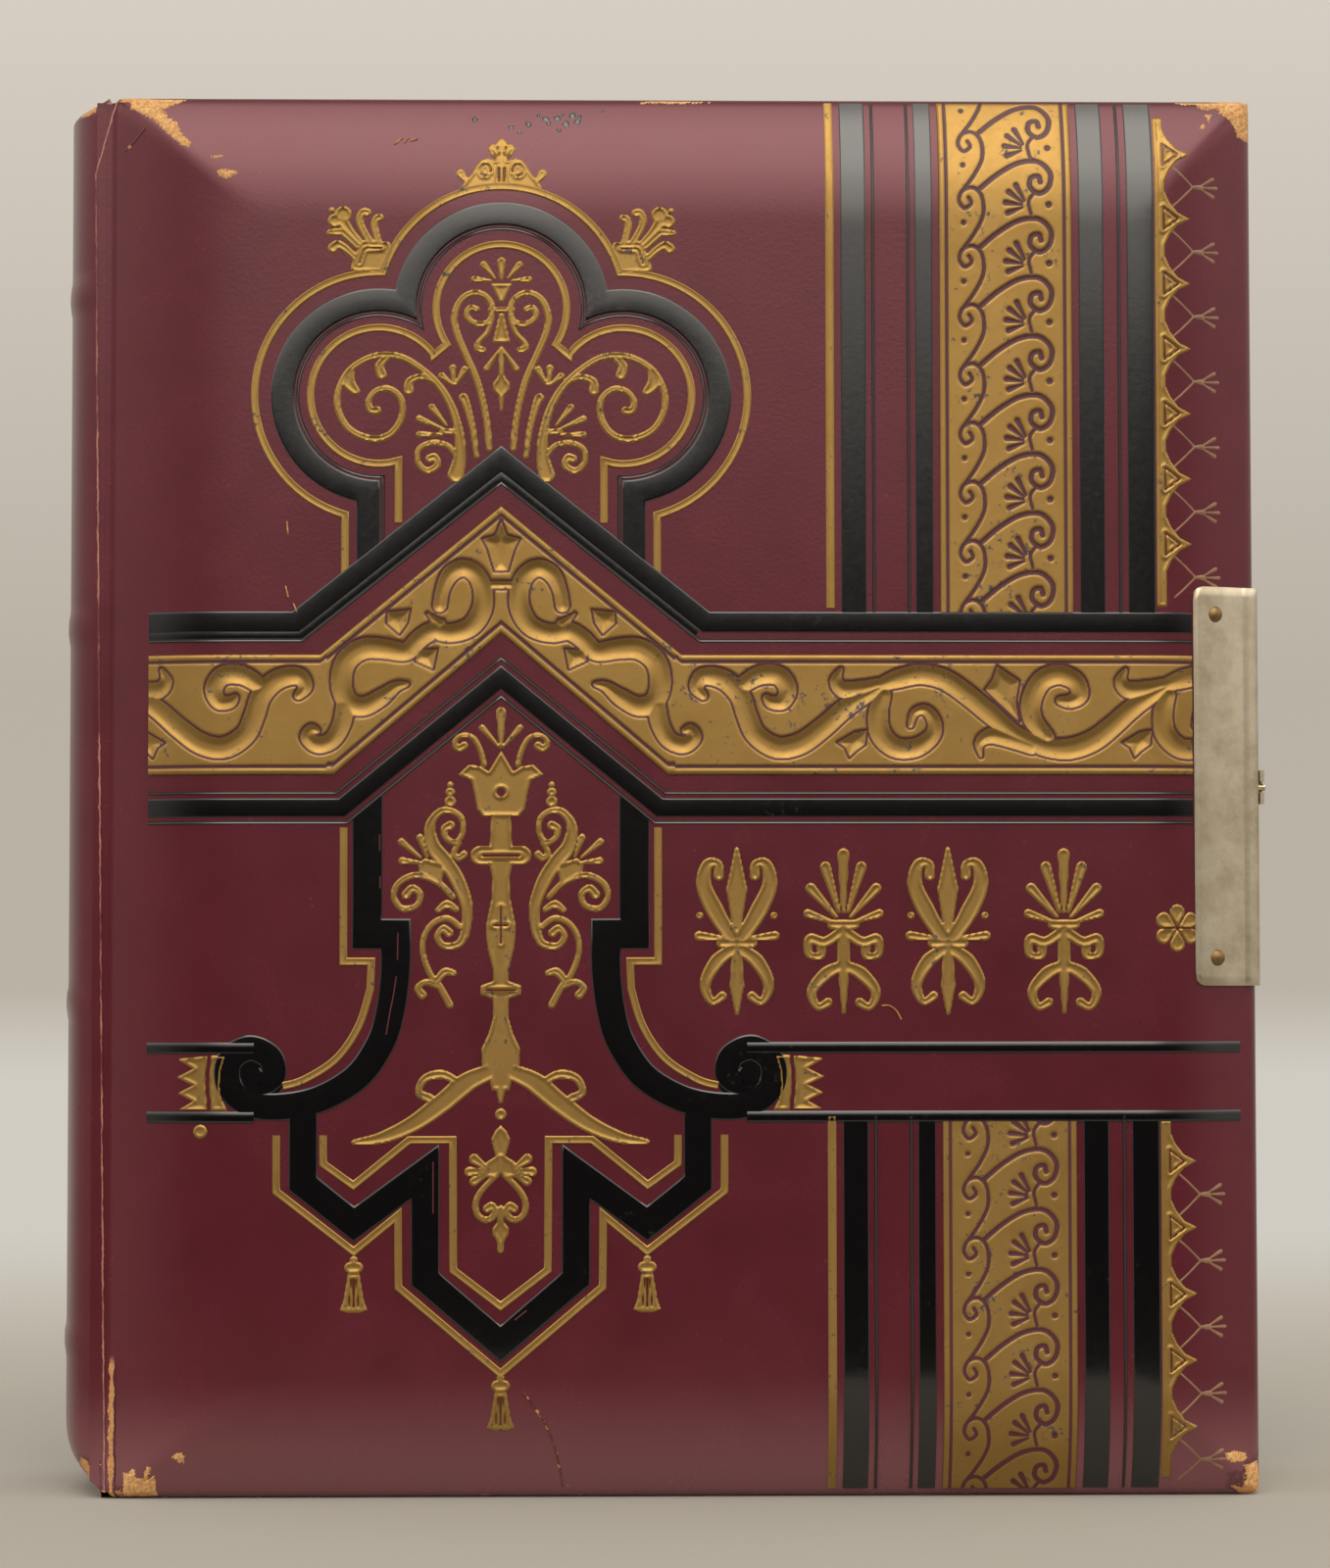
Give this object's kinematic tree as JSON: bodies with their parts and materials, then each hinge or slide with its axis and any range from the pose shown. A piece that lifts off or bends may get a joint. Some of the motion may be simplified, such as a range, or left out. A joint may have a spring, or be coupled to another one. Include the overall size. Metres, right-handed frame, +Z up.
{
  "type": "photograph album",
  "caption": "Victorian photograph album with bevelled maroon leather covers, gilt and black stamping, card leaves with picture windows and a fore-edge clasp.",
  "frame": {"origin": "on the floor under the middle of the album's overall box", "axes": "+Z up along the height of the album, -Y out of the front cover, -X towards the spine and +X towards the fore edge"},
  "size_m": [0.2326, 0.0606, 0.267],
  "materials": {
    "maroon_leather": "stained maroon goatskin over bevelled boards, semi-matt, worn",
    "black_stamping": "black pigment blocked into the leather, satin",
    "gilt_stamping": "gold leaf blocked into the leather, slightly rubbed",
    "millboard": "dense rolled millboard",
    "endpaper": "glazed cream endpaper",
    "leaf_card": "laminated card with gilt edges",
    "leaf_paper": "cream printed paper, smooth",
    "hinge_linen": "woven linen strip",
    "binding_cloth": "open weave cloth and linen thread, glued",
    "headband_silk": "twisted silk",
    "nickel": "nickel-plated sheet brass, dulled"
  },
  "bodies": {
    "spine": {"spine_leather": "maroon_leather", "spine_former": "millboard", "guards": "millboard", "mull": "binding_cloth", "sewing": "binding_cloth", "headbands": "headband_silk"},
    "front_cover": {"front_board": "millboard", "front_leather": "maroon_leather", "front_pastedown": "endpaper", "front_clasp_plate": "nickel", "front_plate_pins": "nickel", "black_bands": "black_stamping", "gilt_bands": "gilt_stamping", "clasp_stud": "nickel"},
    "back_cover": {"back_board": "millboard", "back_leather": "maroon_leather", "back_pastedown": "endpaper", "back_clasp_plate": "nickel", "back_plate_pins": "nickel", "hasp_pin": "nickel"},
    "hasp": {"clasp_hasp": "nickel"},
    "leaf_01": {"leaf_01_core": "leaf_card", "leaf_01_mats": "leaf_paper", "leaf_01_linen": "hinge_linen"},
    "leaf_02": {"leaf_02_core": "leaf_card", "leaf_02_mats": "leaf_paper", "leaf_02_linen": "hinge_linen"},
    "leaf_03": {"leaf_03_core": "leaf_card", "leaf_03_mats": "leaf_paper", "leaf_03_linen": "hinge_linen"},
    "leaf_04": {"leaf_04_core": "leaf_card", "leaf_04_mats": "leaf_paper", "leaf_04_linen": "hinge_linen"},
    "leaf_05": {"leaf_05_core": "leaf_card", "leaf_05_mats": "leaf_paper", "leaf_05_linen": "hinge_linen"},
    "leaf_06": {"leaf_06_core": "leaf_card", "leaf_06_mats": "leaf_paper", "leaf_06_linen": "hinge_linen"},
    "leaf_07": {"leaf_07_core": "leaf_card", "leaf_07_mats": "leaf_paper", "leaf_07_linen": "hinge_linen"},
    "leaf_08": {"leaf_08_core": "leaf_card", "leaf_08_mats": "leaf_paper", "leaf_08_linen": "hinge_linen"},
    "leaf_09": {"leaf_09_core": "leaf_card", "leaf_09_mats": "leaf_paper", "leaf_09_linen": "hinge_linen"},
    "leaf_10": {"leaf_10_core": "leaf_card", "leaf_10_mats": "leaf_paper", "leaf_10_linen": "hinge_linen"},
    "leaf_11": {"leaf_11_core": "leaf_card", "leaf_11_mats": "leaf_paper", "leaf_11_linen": "hinge_linen"},
    "leaf_12": {"leaf_12_core": "leaf_card", "leaf_12_mats": "leaf_paper", "leaf_12_linen": "hinge_linen"}
  },
  "joints": [
    {"name": "front_cover_hinge", "type": "hinge", "parent": "spine", "child": "front_cover", "pos_m": [-0.10683, -0.0243, 0.1335], "axis": [0, 0, -1], "range_deg": [0, 165]},
    {"name": "back_cover_hinge", "type": "hinge", "parent": "spine", "child": "back_cover", "pos_m": [-0.10683, 0.0243, 0.1335], "axis": [0, 0, 1], "range_deg": [0, 165]},
    {"name": "hasp_hinge", "type": "hinge", "parent": "back_cover", "child": "hasp", "pos_m": [0.11482, 0.022, 0.1345], "axis": [0, 0, 1], "range_deg": [0, 180]},
    {"name": "leaf_01_hinge", "type": "hinge", "parent": "spine", "child": "leaf_01", "pos_m": [-0.09817, -0.0176, 0.1335], "axis": [0, 0, -1], "range_deg": [0, 73]},
    {"name": "leaf_02_hinge", "type": "hinge", "parent": "spine", "child": "leaf_02", "pos_m": [-0.09817, -0.0144, 0.1335], "axis": [0, 0, -1], "range_deg": [0, 61]},
    {"name": "leaf_03_hinge", "type": "hinge", "parent": "spine", "child": "leaf_03", "pos_m": [-0.09817, -0.0112, 0.1335], "axis": [0, 0, -1], "range_deg": [0, 49]},
    {"name": "leaf_04_hinge", "type": "hinge", "parent": "spine", "child": "leaf_04", "pos_m": [-0.09817, -0.008, 0.1335], "axis": [0, 0, -1], "range_deg": [0, 37]},
    {"name": "leaf_05_hinge", "type": "hinge", "parent": "spine", "child": "leaf_05", "pos_m": [-0.09817, -0.0048, 0.1335], "axis": [0, 0, -1], "range_deg": [0, 25]},
    {"name": "leaf_06_hinge", "type": "hinge", "parent": "spine", "child": "leaf_06", "pos_m": [-0.09817, -0.0016, 0.1335], "axis": [0, 0, -1], "range_deg": [0, 13]},
    {"name": "leaf_07_hinge", "type": "hinge", "parent": "spine", "child": "leaf_07", "pos_m": [-0.09817, 0.0016, 0.1335], "axis": [0, 0, 1], "range_deg": [0, 13]},
    {"name": "leaf_08_hinge", "type": "hinge", "parent": "spine", "child": "leaf_08", "pos_m": [-0.09817, 0.0048, 0.1335], "axis": [0, 0, 1], "range_deg": [0, 25]},
    {"name": "leaf_09_hinge", "type": "hinge", "parent": "spine", "child": "leaf_09", "pos_m": [-0.09817, 0.008, 0.1335], "axis": [0, 0, 1], "range_deg": [0, 37]},
    {"name": "leaf_10_hinge", "type": "hinge", "parent": "spine", "child": "leaf_10", "pos_m": [-0.09817, 0.0112, 0.1335], "axis": [0, 0, 1], "range_deg": [0, 49]},
    {"name": "leaf_11_hinge", "type": "hinge", "parent": "spine", "child": "leaf_11", "pos_m": [-0.09817, 0.0144, 0.1335], "axis": [0, 0, 1], "range_deg": [0, 61]},
    {"name": "leaf_12_hinge", "type": "hinge", "parent": "spine", "child": "leaf_12", "pos_m": [-0.09817, 0.0176, 0.1335], "axis": [0, 0, 1], "range_deg": [0, 73]}
  ],
  "couplings": [
    {"joint": "leaf_01_hinge", "follows": "front_cover_hinge", "ratio": 0.43636},
    {"joint": "leaf_02_hinge", "follows": "front_cover_hinge", "ratio": 0.36364},
    {"joint": "leaf_03_hinge", "follows": "front_cover_hinge", "ratio": 0.29091},
    {"joint": "leaf_04_hinge", "follows": "front_cover_hinge", "ratio": 0.21818},
    {"joint": "leaf_05_hinge", "follows": "front_cover_hinge", "ratio": 0.14546},
    {"joint": "leaf_06_hinge", "follows": "front_cover_hinge", "ratio": 0.072727},
    {"joint": "leaf_07_hinge", "follows": "back_cover_hinge", "ratio": 0.072727},
    {"joint": "leaf_08_hinge", "follows": "back_cover_hinge", "ratio": 0.14546},
    {"joint": "leaf_09_hinge", "follows": "back_cover_hinge", "ratio": 0.21818},
    {"joint": "leaf_10_hinge", "follows": "back_cover_hinge", "ratio": 0.29091},
    {"joint": "leaf_11_hinge", "follows": "back_cover_hinge", "ratio": 0.36364},
    {"joint": "leaf_12_hinge", "follows": "back_cover_hinge", "ratio": 0.43636}
  ]
}
